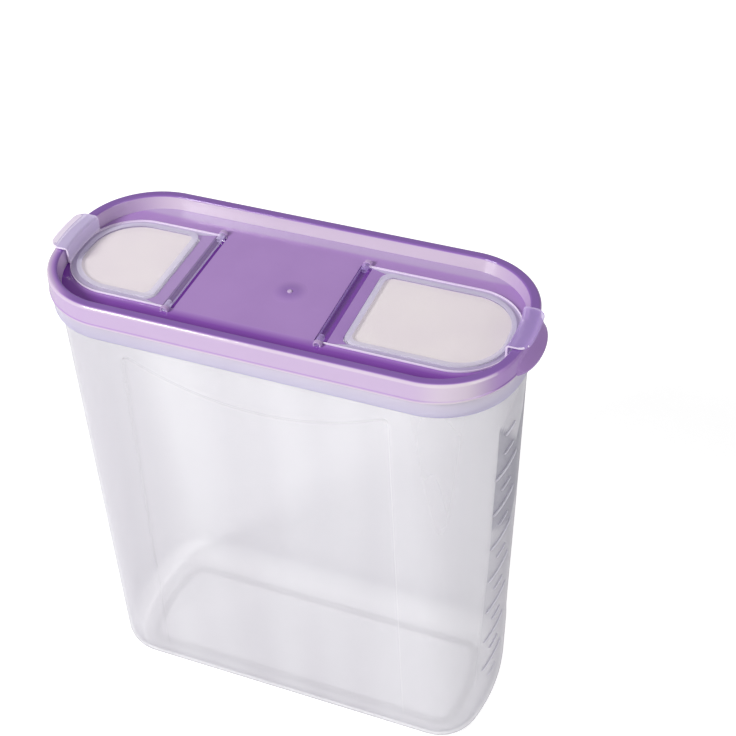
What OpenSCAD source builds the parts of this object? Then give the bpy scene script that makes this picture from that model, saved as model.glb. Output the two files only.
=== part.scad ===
// Cereal container: a tapered translucent tub, a press-on lid with a sunken
// floor, and two flip-up pour flaps that hinge in that floor.
// The origin is the middle of the underside. X runs along the long side,
// Y runs towards the back and Z is up.

/* [Overall] */
// Length of the lid over its skirt, without the lift tabs
lid_l = 240; // [215:1:300]
// Width of the lid over its skirt
lid_w = 104; // [94:1:125]
// Height from the table to the top of the lid's rim
rim_top = 271; // [160:1:330]
// Plan radius of the four corners, at the skirt
corner_r = 41.5; // [34:0.5:43]
// Plan radius of the gently bowed ends, at the skirt
end_r = 92; // [80:1:120]

/* [Tub] */
// Thickness of the tub's wall
wall = 1.6; // [1.2:0.1:2]
// Thickness of the tub's floor
floor_t = 2; // [1.4:0.1:3]
// Draft of the long walls, from the collar to the floor, on each side
draft_y = 3.9; // [1:0.1:7]
// Draft of the end walls, from the collar to the floor, on each side
draft_x = 3.9; // [1:0.1:7]
// Plan radius of the corners at the floor
foot_corner_r = 24; // [20:0.5:34]
// Plan radius of the bowed ends at the floor
foot_end_r = 107; // [90:1:140]
// Radius of the rounding between wall and floor
foot_round = 13.5; // [6:0.5:15]
// Height of the ring that the tub stands on
foot_ring_h = 0.8; // [0.4:0.1:1.5]
// Width of the ring that the tub stands on
foot_ring_w = 5; // [3:0.5:8]
// Height of the collar that shows below the skirt
collar_h = 9.5; // [6:0.5:14]
// How far the collar stands proud of the long walls
collar_step = 1; // [0.5:0.1:1.6]
// How far the collar stands proud of the end walls
collar_end_step = 3.6; // [1:0.1:4.5]
// Distance of the collar in from the skirt on the long sides
collar_inset = 2.2; // [1:0.1:2.8]
// Distance of the collar in from the skirt at the ends
collar_end_inset = 0.6; // [0.3:0.1:1.2]

/* [Panels] */
// Distance from the lid's end to the side of the sunken panel in a long wall
panel_end = 53; // [48:1:70]
// Distance from the collar down to the panel's upper corners
panel_drop = 6.5; // [4:0.5:20]
// Sag of the panel's curved upper edge
panel_sag = 17.5; // [5:0.5:30]
// How much further out the panel's sides are at its foot
panel_flare = 5; // [0:0.5:6]
// Height of the panel's foot
panel_low = 22; // [18:1:60]
// Depth of the panel at the collar
panel_d = 0.5; // [0.3:0.05:0.6]
// Depth of the panel at the floor
panel_d_low = 0.15; // [0.1:0.05:0.3]

/* [Graduation] */
// Height of the lowest graduation rib
scale_low = 37; // [20:1:60]
// Number of graduation ribs
scale_n = 16; // [4:1:18]
// Distance from one graduation rib to the next
scale_pitch = 12.2; // [8:0.1:12.5]
// Length of a short graduation rib
scale_short = 11; // [6:1:16]
// Length of a long graduation rib
scale_long = 25; // [18:1:30]
// Width of a graduation rib
scale_rib_w = 1; // [0.6:0.1:2]
// How far a graduation rib stands proud of the wall
scale_rib_h = 0.5; // [0.3:0.1:0.8]
// Distance of the graduation from the middle of the end wall
scale_y = -11; // [-14:1:0]

/* [Lid] */
// Depth of the skirt below the rim's top
skirt_h = 10.3; // [8:0.1:14]
// Thickness of the skirt and of the rim's roof
skirt_t = 1.5; // [1.2:0.1:1.8]
// How far the skirt leans in from its lower edge to the rim
skirt_lean = 1.1; // [0.6:0.1:1.4]
// How much less the skirt leans in at the ends
skirt_end_stand = 1.1; // [0:0.1:1.2]
// Height of the bead along the skirt's lower edge
bead_h = 1.3; // [0.8:0.1:2]
// How far the bead stands proud of the skirt
bead_d = 0.3; // [0.2:0.1:0.5]
// Depth of the sunken floor below the rim's top
recess = 7.8; // [6:0.1:10]
// Thickness of the sunken floor
lid_floor_t = 1.6; // [1.2:0.1:2]
// Thickness of the plug wall that goes into the tub's mouth
plug_t = 1.5; // [1.2:0.1:2]
// How far the plug wall reaches below the sunken floor
plug_drop = 2.8; // [1:0.1:5]
// Clearance between the tub's mouth and the lid's channel, on each side
mouth_gap = 0.35; // [0.2:0.05:0.5]
// How far a lift tab reaches past the end of the skirt
tab_reach = 4.9; // [3:0.1:7]
// Width of a lift tab where it leaves the skirt
tab_w = 41; // [30:1:50]
// Height of a lift tab's gusset
tab_h = 5.8; // [4:0.1:7]
// Thickness of a lift tab's edge
tab_t = 1.2; // [0.8:0.1:2]

/* [Pour openings] */
// Width of both pour openings
opening_w = 55; // [40:1:58]
// Distance from the lid's end to the end of an opening
opening_end = 10.5; // [10:0.5:14]
// Distance from a hinge axis to its opening
opening_start = 9; // [7:0.5:14]
// Straight edge between an opening's outer corners
opening_flat = 7; // [4:0.5:14]
// Plan radius of an opening's corners beside the hinge
opening_inner_r = 5; // [2:0.5:8]

/* [Flaps] */
// Distance of the short flap's hinge axis from the middle
short_hinge_x = 50; // [40:0.5:60]
// Distance of the long flap's hinge axis from the middle
long_hinge_x = 27.6; // [15:0.1:38]
// Thickness of a flap's plate
flap_t = 1.2; // [1:0.1:2]
// Width that a flap's plate laps over its opening, on each side
flap_lap = 3.4; // [2:0.1:5]
// Clearance between a closed flap and the sunken floor
flap_seat_gap = 0.1; // [0.05:0.05:0.2]
// Clearance between a closed flap and the rim
flap_rim_gap = 0.4; // [0.3:0.05:0.6]
// Depth of the rim under a flap that plugs its opening
flap_plug_h = 3.2; // [2:0.1:4]
// Thickness of the rim that plugs an opening
flap_plug_t = 1.3; // [1:0.1:2]
// Clearance between that rim and its opening
flap_plug_gap = 0.35; // [0.3:0.05:0.5]
// Width of the finger lip that folds over the lid's rim
lip_w = 30; // [20:1:36]
// How far the finger lip reaches past the skirt
lip_reach = 2; // [1:0.1:4]
// Rise of the finger lip's free edge
lip_rise = 0.5; // [0:0.1:1]

/* [Hinges] */
// Diameter of a hinge pin
pin_d = 2.2; // [1.8:0.1:2.4]
// Clearance round a hinge pin, on the radius
pin_gap = 0.05; // [0.03:0.01:0.08]
// Length of a hinge pin past its knuckle
pin_l = 2.2; // [1.6:0.1:2.6]
// Diameter of a hinge knuckle
knuckle_d = 3; // [2.9:0.1:3.4]
// Width of a hinge knuckle
knuckle_w = 4.5; // [2:0.5:5]
// How far a flap's plate reaches past its hinge axis, over the trough
heel = 1.9; // [1.4:0.1:2.2]
// Width of the block that a hinge pin turns in
ear_w = 2.2; // [1.6:0.1:3]
// Length of that block
ear_l = 4; // [3.4:0.1:4.4]
// Height of that block above the hinge axis
ear_h = 1.8; // [1.6:0.1:2.2]
// Clearance between that block and the flap
ear_gap = 0.3; // [0.2:0.05:0.5]
// Width of the trough under a hinge
trough_w = 6; // [5.4:0.1:7]
// Depth of the trough below the sunken floor
trough_d = 3; // [2:0.1:4]

/* [Gate mark] */
// Diameter of the moulding mark in the middle of the sunken floor
gate_d = 2.4; // [1.5:0.1:4]
// Height of that mark
gate_h = 0.3; // [0.2:0.05:0.6]

/* [Hidden] */
$fn = 40;

// Segments of a corner, of a bowed end, of the foot's rounding and of the panel's edge
corner_steps = 11;
end_steps = 4;
round_steps = 5;
panel_steps = 12;

// How far a cutter runs past what it cuts, and how far a joined piece sinks in
over = 1;
sink = 0.5;

// Small roundings, bevels and steps
collar_bevel = 0.3;
collar_bevel_h = 0.6;
skirt_shadow = 0.9;
mouth_bevel = 0.4;
shoulder = 2;
rim_round_out = 1.9;
rim_round_in = 1;
rim_draft = 0.25;
plug_bevel = 0.4;
tab_root = 4;
trough_wall = 1.2;
lip_bend = 0.8;
lip_flat_end = 1;
flap_corner_r = 0.5;

// Plan radius of an opening's outer corners
opening_outer_r = (opening_w - opening_flat) / 2;

// Heights
recess_z = rim_top - recess;
lid_floor_z = recess_z - lid_floor_t;
mouth_z = rim_top - skirt_t;
skirt_z = rim_top - skirt_h;
collar_z = skirt_z - collar_h;
flap_z = recess_z + flap_seat_gap;
axis_z = flap_z + flap_t / 2;
lip_z = rim_top + flap_rim_gap;

// Distances in from the skirt's lower edge
channel_out = skirt_t + skirt_lean;
mouth_out = channel_out + mouth_gap;
mouth_in = mouth_out + wall;
channel_in = mouth_in + mouth_gap;
rim_in = channel_in + plug_t;
recess_in = rim_in + rim_draft;
wall_in_y = collar_inset + collar_step;
wall_in_x = collar_end_inset + collar_end_step;

// Plan outline with round corners and bowed ends, counter-clockwise from the front
function outline(l, w, r, e) =
    let (cy = w / 2 - r,
         run = sqrt(pow(e - r, 2) - cy * cy),
         cx = l / 2 - e + run,
         a = atan2(cy, run),
         half = concat(
             [for (i = [0:corner_steps]) let (t = -90 + (90 - a) * i / corner_steps)
                 [cx + r * cos(t), -cy + r * sin(t)]],
             [for (i = [1:end_steps - 1]) let (t = -a + 2 * a * i / end_steps)
                 [l / 2 - e + e * cos(t), e * sin(t)]],
             [for (i = [0:corner_steps]) let (t = a + (90 - a) * i / corner_steps)
                 [cx + r * cos(t), cy + r * sin(t)]]))
    concat(half, [for (p = half) -p]);

// The skirt's outline at a height, brought in by the same distance all round.
// Towards the rim the ends stand further out.
function skirt_outline(inset, z) =
    let (stand = skirt_end_stand * max(0, z - skirt_z) / skirt_h)
    outline(lid_l - 2 * (inset - stand), lid_w - 2 * inset, corner_r - inset, end_r - inset);

// The tub wall's outline at a height, brought in by a distance
function wall_outline(z, inset) =
    let (g = (collar_z - z) / collar_z)
    outline(lid_l - 2 * (wall_in_x + draft_x * g + inset),
            lid_w - 2 * (wall_in_y + draft_y * g + inset),
            (corner_r - wall_in_y) * (1 - g) + foot_corner_r * g - inset,
            (end_r - wall_in_x) * (1 - g) + foot_end_r * g - inset);

// The collar's outline, which bulges at the ends
function collar_outline(inset) =
    outline(lid_l - 2 * (collar_end_inset + inset), lid_w - 2 * (collar_inset + inset),
            corner_r - collar_inset - inset, end_r - collar_end_inset - inset);

// A plan outline lifted to a height
function ring(points, z) = [for (p = points) [p[0], p[1], z]];

// Skins a list of rings. A loop of rings closes on itself, a stack has two ends.
module skin(rings, loop = false) {
    n = len(rings[0]);
    m = len(rings);
    spans = loop ? m : m - 1;
    sides = [for (k = [0:spans - 1], i = [0:n - 1])
        let (j = (i + 1) % n, q = (k + 1) % m)
        [k * n + i, q * n + i, q * n + j, k * n + j]];
    ends = loop ? [] : [[for (i = [0:n - 1]) i], [for (i = [n - 1:-1:0]) (m - 1) * n + i]];
    polyhedron(points = [for (r = rings, p = r) p], faces = concat(sides, ends), convexity = 6);
}

// The rings of a rounding of the tub's foot, from the floor up or from the wall down
function foot_rings(base, inset, r, up) =
    [for (i = [0:round_steps])
        let (a = 90 * (up ? 1 - i / round_steps : i / round_steps),
             z = base + r * (1 - sin(a)))
        ring(wall_outline(z, inset + r * (1 - cos(a))), z)];

module graduation() {
    for (i = [0:scale_n - 1]) {
        z = scale_low + i * scale_pitch;
        half = (i % 2 == 1 ? scale_long : scale_short) / 2;
        g = (collar_z - z) / collar_z;
        e = (end_r - wall_in_x) * (1 - g) + foot_end_r * g;
        face_x = lid_l / 2 - wall_in_x - draft_x * g;
        intersection() {
            translate([face_x - e, 0, z - scale_rib_w / 2])
                difference() {
                    cylinder(r = e + scale_rib_h, h = scale_rib_w, $fn = 180);
                    translate([0, 0, -over])
                        cylinder(r = e - wall / 2, h = scale_rib_w + 2 * over, $fn = 180);
                }
            translate([face_x - e, scale_y - half, z - scale_rib_w])
                cube([2 * e, 2 * half, 2 * scale_rib_w]);
        }
    }
}

// Outline of a long wall's panel, seen from the front, with its top measured from the collar
function panel_outline() =
    let (half = lid_l / 2 - panel_end,
         r = (half * half + panel_sag * panel_sag) / (2 * panel_sag),
         a = asin(half / r),
         low = panel_low - collar_z)
    concat(
        [for (i = [0:panel_steps]) let (t = a - 2 * a * i / panel_steps)
            [r * sin(t), r - panel_sag - panel_drop - r * cos(t)]],
        [[-half - panel_flare, low], [half + panel_flare, low]]);

// What is cut from the front wall to sink its panel, which gets shallower downwards
module panel_cut() {
    translate([0, wall_in_y - lid_w / 2, collar_z])
        rotate([atan((draft_y - panel_d + panel_d_low) / collar_z), 0, 0])
            translate([0, panel_d, 0]) rotate([90, 0, 0])
                linear_extrude(panel_d + over) polygon(panel_outline());
}

module tub_shell() {
    skin(concat(
        [ring(wall_outline(0, foot_round + foot_ring_w + over), foot_ring_h),
         ring(wall_outline(0, foot_round + foot_ring_w), 0)],
        foot_rings(0, 0, foot_round, true),
        [ring(wall_outline(collar_z, 0), collar_z),
         ring(collar_outline(collar_bevel), collar_z),
         ring(collar_outline(0), collar_z + collar_bevel_h),
         ring(collar_outline(0), skirt_z - skirt_shadow),
         ring(skirt_outline(mouth_out, skirt_z - skirt_shadow + collar_bevel), skirt_z - skirt_shadow + collar_bevel),
         ring(skirt_outline(mouth_out, mouth_z - mouth_bevel), mouth_z - mouth_bevel),
         ring(skirt_outline(mouth_out + mouth_bevel, mouth_z), mouth_z),
         ring(skirt_outline(mouth_in - mouth_bevel, mouth_z), mouth_z),
         ring(skirt_outline(mouth_in, mouth_z - mouth_bevel), mouth_z - mouth_bevel),
         ring(skirt_outline(mouth_in, collar_z + shoulder), collar_z + shoulder),
         ring(wall_outline(collar_z, wall), collar_z - shoulder)],
        foot_rings(floor_t, wall, foot_round - wall, false)));
}

module container_body() {
    color("ghostwhite") {
        difference() {
            tub_shell();
            panel_cut();
            mirror([0, 1, 0]) panel_cut();
        }
        graduation();
    }
}

// Rings of the lid's rim: skirt, roof, plug wall and the channel between them
module lid_rim() {
    section = concat(
        [[0, skirt_z],
         [0, skirt_z + bead_h],
         [bead_d, skirt_z + bead_h + bead_d]],
        [for (i = [0:4]) let (t = 90 * i / 4)
            [skirt_lean + rim_round_out * (1 - cos(t)), rim_top - rim_round_out * (1 - sin(t))]],
        [for (i = [0:2]) let (t = 90 * i / 2)
            [rim_in - rim_round_in * (1 - sin(t)), rim_top - rim_round_in * (1 - cos(t))]],
        [[recess_in, recess_z],
         [recess_in, lid_floor_z],
         [recess_in - plug_bevel, lid_floor_z - plug_drop],
         [channel_in + plug_bevel, lid_floor_z - plug_drop],
         [channel_in, lid_floor_z - plug_drop + 2 * plug_bevel],
         [channel_in, mouth_z],
         [channel_out, mouth_z],
         [skirt_t, skirt_z]]);
    skin([for (p = section) ring(skirt_outline(p[0], p[1]), p[1])], loop = true);
}

// Outline of a lift tab at the lid's right end, part of an ellipse
function tab_outline(reach) =
    [for (i = [0:16]) let (t = -90 + 180 * i / 16)
        [lid_l / 2 - tab_root + (reach + tab_root) * cos(t), tab_w / 2 * sin(t)]];

module lift_tab() {
    difference() {
        hull() {
            translate([0, 0, skirt_z]) linear_extrude(tab_t) polygon(tab_outline(tab_reach));
            translate([0, 0, skirt_z + tab_h - bead_d])
                linear_extrude(bead_d) polygon(tab_outline(-plug_bevel));
        }
        translate([0, 0, skirt_z - over]) linear_extrude(tab_h + 2 * over)
            polygon(skirt_outline(skirt_t - bead_d / 2, skirt_z));
    }
}

// Outline of a pour opening or of what covers it, from the hinge side to the end.
// It runs along +X and is brought in or out by a distance.
function opening_outline(hinge_x, grow) =
    let (x0 = hinge_x + opening_start - grow,
         x1 = lid_l / 2 - opening_end + grow,
         h = opening_w / 2 + grow)
    round_box(x0, x1, h, opening_inner_r + grow, opening_outer_r + grow);

// A box from x0 to x1 and h each way, with its own corner radius at each end
function round_box(x0, x1, h, r0, r1) = concat(
    [for (i = [0:4]) let (t = 180 + 90 * i / 4) [x0 + r0 + r0 * cos(t), -h + r0 + r0 * sin(t)]],
    [for (i = [0:12]) let (t = -90 + 90 * i / 12) [x1 - r1 + r1 * cos(t), -h + r1 + r1 * sin(t)]],
    [for (i = [0:12]) let (t = 90 * i / 12) [x1 - r1 + r1 * cos(t), h - r1 + r1 * sin(t)]],
    [for (i = [0:4]) let (t = 90 + 90 * i / 4) [x0 + r0 + r0 * cos(t), h - r0 + r0 * sin(t)]]);

knuckle_y = opening_w / 2 + flap_lap;
ear_y = knuckle_y + ear_gap;

// The pan of a hinge trough, below the sunken floor
module trough_pan(hinge_x) {
    half_l = trough_w / 2 + lid_floor_t;
    half_w = ear_y + trough_wall;
    translate([hinge_x - half_l, -half_w, recess_z - trough_d - lid_floor_t])
        cube([2 * half_l, 2 * half_w, trough_d + lid_floor_t / 2]);
}

module trough_cut(hinge_x) {
    translate([hinge_x - trough_w / 2, -ear_y, recess_z - trough_d])
        cube([trough_w, 2 * ear_y, trough_d + over]);
}

// The two blocks that carry a flap's pins
module ears(hinge_x) {
    for (s = [-1, 1])
        translate([hinge_x - ear_l / 2, s > 0 ? ear_y : -ear_y - ear_w, recess_z - sink])
            cube([ear_l, ear_w, axis_z + ear_h - recess_z + sink]);
}

module pin_bores(hinge_x) {
    translate([hinge_x, 0, axis_z]) rotate([90, 0, 0])
        cylinder(d = pin_d + 2 * pin_gap, h = 2 * (ear_y + ear_w + over), center = true);
}

module opening_cut(hinge_x) {
    translate([0, 0, lid_floor_z - over]) linear_extrude(lid_floor_t + 2 * over)
        polygon(opening_outline(hinge_x, 0));
}

module lid() {
    color("mediumpurple") difference() {
        union() {
            lid_rim();
            lift_tab();
            mirror([1, 0, 0]) lift_tab();
            translate([0, 0, lid_floor_z]) linear_extrude(lid_floor_t)
                polygon(skirt_outline(channel_in + plug_t / 2, skirt_z));
            trough_pan(-short_hinge_x);
            trough_pan(long_hinge_x);
            ears(-short_hinge_x);
            ears(long_hinge_x);
            translate([0, 0, recess_z - sink]) cylinder(d = gate_d, h = gate_h + sink);
        }
        opening_cut(long_hinge_x);
        mirror([1, 0, 0]) opening_cut(short_hinge_x);
        trough_cut(-short_hinge_x);
        trough_cut(long_hinge_x);
        pin_bores(-short_hinge_x);
        pin_bores(long_hinge_x);
    }
}

// The finger lip, turned about the middle of the bowed end
module finger_lip() {
    rise_r = end_r - recess_in - flap_rim_gap;
    profile = [
        [rise_r - flap_t, flap_z],
        [rise_r, flap_z],
        [rise_r, lip_z - lip_bend],
        [rise_r + lip_bend, lip_z],
        [end_r - lip_flat_end, lip_z],
        [end_r + lip_reach, lip_z + lip_rise],
        [end_r + lip_reach, lip_z + lip_rise + flap_t],
        [end_r - lip_flat_end, lip_z + flap_t],
        [rise_r, lip_z + flap_t],
        [rise_r - flap_t, lip_z]];
    translate([lid_l / 2 - end_r, 0, 0]) intersection() {
        rotate_extrude($fn = 180) polygon(profile);
        translate([0, -lip_w / 2, 0]) cube([2 * end_r, lip_w, 2 * rim_top]);
    }
}

// The knuckle at the flap's right side, half sunk in the plate
module knuckle() {
    translate([0, knuckle_y - knuckle_w / 2, axis_z]) rotate([90, 0, 0])
        cylinder(d = knuckle_d, h = knuckle_w, center = true);
}

// The two pins, which start inside the knuckles
module pins() {
    rotate([90, 0, 0]) difference() {
        cylinder(d = pin_d, h = 2 * (knuckle_y + pin_l), center = true);
        cylinder(d = pin_d + over, h = 2 * (knuckle_y - knuckle_w / 2), center = true);
    }
}

// A flap along +X from its hinge axis
module flap(hinge_x) {
    plate_end = lid_l / 2 - recess_in - flap_rim_gap;
    translate([0, 0, flap_z]) linear_extrude(flap_t)
        polygon(round_box(hinge_x - heel, plate_end, knuckle_y, flap_corner_r, opening_outer_r + flap_lap));
    translate([0, 0, flap_z - flap_plug_h]) linear_extrude(flap_plug_h + sink) difference() {
        polygon(opening_outline(hinge_x, -flap_plug_gap));
        polygon(opening_outline(hinge_x, -flap_plug_gap - flap_plug_t));
    }
    finger_lip();
    translate([hinge_x, 0, 0]) {
        knuckle();
        mirror([0, 1, 0]) knuckle();
        translate([0, 0, axis_z]) pins();
    }
}

module short_flap() {
    color("lavender") mirror([1, 0, 0]) flap(short_hinge_x);
}

module long_flap() {
    color("lavender") flap(long_hinge_x);
}

container_body();
lid();
short_flap();
long_flap();
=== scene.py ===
import math

import bmesh
import bpy
from mathutils import Matrix, Vector


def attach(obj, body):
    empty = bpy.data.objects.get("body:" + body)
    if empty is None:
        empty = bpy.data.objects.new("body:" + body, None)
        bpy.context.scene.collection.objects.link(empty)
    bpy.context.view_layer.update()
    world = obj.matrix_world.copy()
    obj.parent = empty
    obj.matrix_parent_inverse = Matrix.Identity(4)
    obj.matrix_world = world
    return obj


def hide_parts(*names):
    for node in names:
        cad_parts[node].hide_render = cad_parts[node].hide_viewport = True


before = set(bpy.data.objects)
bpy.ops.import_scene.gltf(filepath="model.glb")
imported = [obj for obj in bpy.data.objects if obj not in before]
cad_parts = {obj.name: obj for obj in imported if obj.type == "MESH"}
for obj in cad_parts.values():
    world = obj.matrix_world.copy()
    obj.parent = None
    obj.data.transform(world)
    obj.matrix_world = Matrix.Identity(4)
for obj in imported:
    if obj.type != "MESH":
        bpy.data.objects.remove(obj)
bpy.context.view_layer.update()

# Sizes in millimetres, as in the part's source. Meshes are scaled to metres when they are made.
MM = 0.001
LID_L = 240.0
LID_W = 104.0
RIM_TOP = 271.0
CORNER_R = 41.5
END_R = 92.0
SKIRT_Z = 260.7
SKIRT_H = 10.3
SKIRT_T = 1.5
SKIRT_LEAN = 1.1
END_STAND = 1.1
MOUTH_Z = 269.5
COLLAR_Z = 251.2
RECESS_Z = 263.2
LID_FLOOR_T = 1.6
LID_FLOOR_Z = RECESS_Z - LID_FLOOR_T
CHANNEL_OUT = 2.6
MOUTH_OUT = 2.95
MOUTH_IN = 4.55
CHANNEL_IN = 4.9
RIM_IN = 6.4
RECESS_IN = 6.65
WALL = 1.6
WALL_IN_Y = 3.2
WALL_IN_X = 4.2
COLLAR_IN_Y = 2.2
COLLAR_IN_X = 0.6
DRAFT = 3.9
FOOT_CORNER_R = 24.0
FOOT_END_R = 107.0
FOOT_ROUND = 13.5
FLOOR_T = 2.0
HALF_PI = math.pi / 2

# How a mesh is finished: the distance in metres at which vertices merge, the angle in degrees at which an
# edge is sharp, and the columns of a small box's corner.
MERGE = 1e-7
SHARP = 32.0
TUB_SHARP = 40.0
FEW = 3


def mix(a, b, t):
    return a + (b - a) * t


def clamp(x, low=0.0, high=1.0):
    return max(low, min(high, x))


def smooth(x):
    x = clamp(x)
    return x * x * (3 - 2 * x)


def rise(x, start, run):
    """Goes smoothly from 0 to 1 as x goes from start over the length run."""
    return smooth((x - start) / run)


def within(x, edge, soft):
    """1 below an edge and 0 above it, with a smooth step between that is soft wide."""
    return smooth((edge - x) / soft + 0.5)


def table(rows, key):
    """A value read off rows of (key, value), highest key first, along straight lines."""
    if key >= rows[0][0]:
        return rows[0][1]
    for (k1, v1), (k0, v0) in zip(rows, rows[1:]):
        if key >= k0:
            return mix(v0, v1, (key - k0) / (k1 - k0))
    return rows[-1][1]


def outline(length, width, r, e, corner_n, end_n, along=None, spread=None):
    """Plan outline with round corners and bowed ends. along(cx) gives x along a long side, from cx down.
    spread(i) gives how far along a corner its i-th column stands, from 0 beside the long side to 1."""
    if spread is None:
        def spread(i):
            return i / corner_n
    cy = width / 2 - r
    run = math.sqrt((e - r) ** 2 - cy * cy)
    cx = length / 2 - e + run
    a = math.atan2(cy, run)
    half = []
    for i in range(corner_n + 1):
        t = -HALF_PI + (HALF_PI - a) * spread(i)
        half.append((cx + r * math.cos(t), -cy + r * math.sin(t)))
    for i in range(1, end_n):
        t = -a + 2 * a * i / end_n
        half.append((length / 2 - e + e * math.cos(t), e * math.sin(t)))
    for i in range(corner_n + 1):
        t = a + (HALF_PI - a) * (1 - spread(corner_n - i))
        half.append((cx + r * math.cos(t), cy + r * math.sin(t)))
    if along:
        half += [(x, width / 2) for x in along(cx)]
    return half + [(-x, -y) for x, y in half]


def skirt_outline(inset, z, corner_n, end_n, along=None):
    stand = END_STAND * max(0.0, z - SKIRT_Z) / SKIRT_H
    return outline(LID_L - 2 * (inset - stand), LID_W - 2 * inset, CORNER_R - inset, END_R - inset,
                   corner_n, end_n, along)


def round_box(x0, x1, h, r0, r1, n0=8, n1=28):
    """A box from x0 to x1 and h each way, with its own corner radius at each end."""
    points = []
    for cx, cy, r, start, n in ((x0 + r0, -h + r0, r0, 180, n0), (x1 - r1, -h + r1, r1, -90, n1),
                                (x1 - r1, h - r1, r1, 0, n1), (x0 + r0, h - r0, r0, 90, n0)):
        for i in range(n + 1):
            t = math.radians(start + 90 * i / n)
            points.append((cx + r * math.cos(t), cy + r * math.sin(t)))
    return points


def small_box(x0, x1, h, r):
    return round_box(x0, x1, h, r, r, FEW, FEW)


def skin(rings, loop=False):
    """Skins rings of points. A loop of rings closes on itself, a stack is capped at both ends."""
    n = len(rings[0])
    m = len(rings)
    verts = [p for ring in rings for p in ring]
    faces = []
    for k in range(m if loop else m - 1):
        q = (k + 1) % m
        for i in range(n):
            j = (i + 1) % n
            faces.append((k * n + i, k * n + j, q * n + j, q * n + i))
    if not loop:
        faces.append(tuple(range(n - 1, -1, -1)))
        faces.append(tuple(range((m - 1) * n, m * n)))
    return verts, faces


def toned(part, tone, slot=0):
    """Gives all of a part one tone and one material slot."""
    verts, faces = part
    return verts, faces, [tone] * len(verts), slot


def at(points, z):
    return [(x, y, z) for x, y in points]


def mesh_object(name, parts, sharp=SHARP, mirrored=False):
    """One object of several closed meshes, in metres, with outward faces. After its vertices and faces a
    part may give a tone for each vertex and then a material slot."""
    bm = bmesh.new()
    layer = bm.verts.layers.float.new("pale")
    for verts, faces, *more in parts:
        made = [bm.verts.new(Vector(v) * MM) for v in verts]
        if more:
            for v, tone in zip(made, more[0]):
                v[layer] = tone
        for f in faces:
            corners = [made[i] for i in f]
            if len(set(corners)) > 2:
                bm.faces.new(corners).material_index = more[1] if len(more) > 1 else 0
    if mirrored:
        bmesh.ops.scale(bm, vec=(-1, 1, 1), verts=bm.verts)
    bmesh.ops.remove_doubles(bm, verts=bm.verts, dist=MERGE)
    bmesh.ops.recalc_face_normals(bm, faces=bm.faces)
    mesh = bpy.data.meshes.new(name)
    bm.to_mesh(mesh)
    bm.free()
    obj = bpy.data.objects.new(name, mesh)
    bpy.context.scene.collection.objects.link(obj)
    finish_shading(obj, sharp)
    return obj


def finish_shading(obj, sharp):
    obj.data.polygons.foreach_set("use_smooth", [True] * len(obj.data.polygons))
    obj.data.set_sharp_from_angle(angle=math.radians(sharp))


def evaluated_mesh(obj):
    bpy.context.view_layer.update()
    graph = bpy.context.evaluated_depsgraph_get()
    return bpy.data.meshes.new_from_object(obj.evaluated_get(graph), depsgraph=graph)


def apply_modifiers(obj):
    mesh = evaluated_mesh(obj)
    old = obj.data
    obj.modifiers.clear()
    obj.data = mesh
    bpy.data.meshes.remove(old)


def weighted(obj):
    """Keeps flat faces flat beside their small bevels."""
    modifier = obj.modifiers.new("Normals", "WEIGHTED_NORMAL")
    modifier.keep_sharp = True
    modifier.weight = 80
    apply_modifiers(obj)


def joined(target, others):
    """Unites overlapping closed solids into target's mesh."""
    for other in others:
        modifier = target.modifiers.new("Join", "BOOLEAN")
        modifier.operation = "UNION"
        modifier.solver = "EXACT"
        modifier.object = other
        apply_modifiers(target)
        bpy.data.objects.remove(other)


def plate_with_holes(name, outer, holes, z0, z1, bevel):
    """A flat plate with holes, from filled curves, with small bevels along its edges."""
    curve = bpy.data.curves.new(name, "CURVE")
    curve.dimensions = "2D"
    curve.fill_mode = "BOTH"
    for points in [outer] + holes:
        spline = curve.splines.new("POLY")
        spline.points.add(len(points) - 1)
        for p, (x, y) in zip(spline.points, points):
            p.co = (x * MM, y * MM, 0, 1)
        spline.use_cyclic_u = True
    curve.extrude = ((z1 - z0) / 2 - bevel) * MM
    curve.bevel_depth = bevel * MM
    curve.offset = -bevel * MM
    curve.bevel_resolution = 2
    temp = bpy.data.objects.new(name + "_curve", curve)
    bpy.context.scene.collection.objects.link(temp)
    mesh = evaluated_mesh(temp)
    bpy.data.objects.remove(temp)
    mesh.transform(Matrix.Translation((0, 0, (z0 + z1) / 2 * MM)))
    verts = [tuple(v.co / MM) for v in mesh.vertices]
    faces = [tuple(p.vertices) for p in mesh.polygons]
    bpy.data.meshes.remove(mesh)
    return verts, faces


def turned(profile, n=24):
    """A small upright turned shape round the origin. profile is (radius, z) from the bottom up."""
    rings = []
    for r, z in profile:
        rings.append([(r * math.cos(2 * math.pi * i / n), r * math.sin(2 * math.pi * i / n), z)
                      for i in range(n)])
    return skin(rings)


def rod(profile, x, z, n=28):
    """A turned shape along Y. profile is (radius, y) in order."""
    rings = []
    for r, y in profile:
        rings.append([(x + r * math.cos(2 * math.pi * i / n), y, z + r * math.sin(2 * math.pi * i / n))
                      for i in range(n)])
    return skin(rings)


# The tub: columns along each stretch of its outline, then the sunken panel in each long side.
TUB_CORNER_N = 26
TUB_END_N = 20
PANEL_HALF = 67.0
PANEL_FLARE = 5.0
PANEL_DROP = 6.5
PANEL_SAG = 17.5
PANEL_ROUND = 4.0
PANEL_LOW = 22.0
PANEL_D = 0.5
PANEL_D_LOW = 0.15
PANEL_EDGE = 0.55
PANEL_IN_N = 64
PANEL_OUT_N = 5
PANEL_FOOT = 3.0
PANEL_FOOT_RUN = 8.0
PANEL_MARGIN = 5.0


def panel_half(z):
    top = COLLAR_Z - PANEL_DROP
    return PANEL_HALF + PANEL_FLARE * clamp((top - z) / (top - PANEL_LOW))


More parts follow.
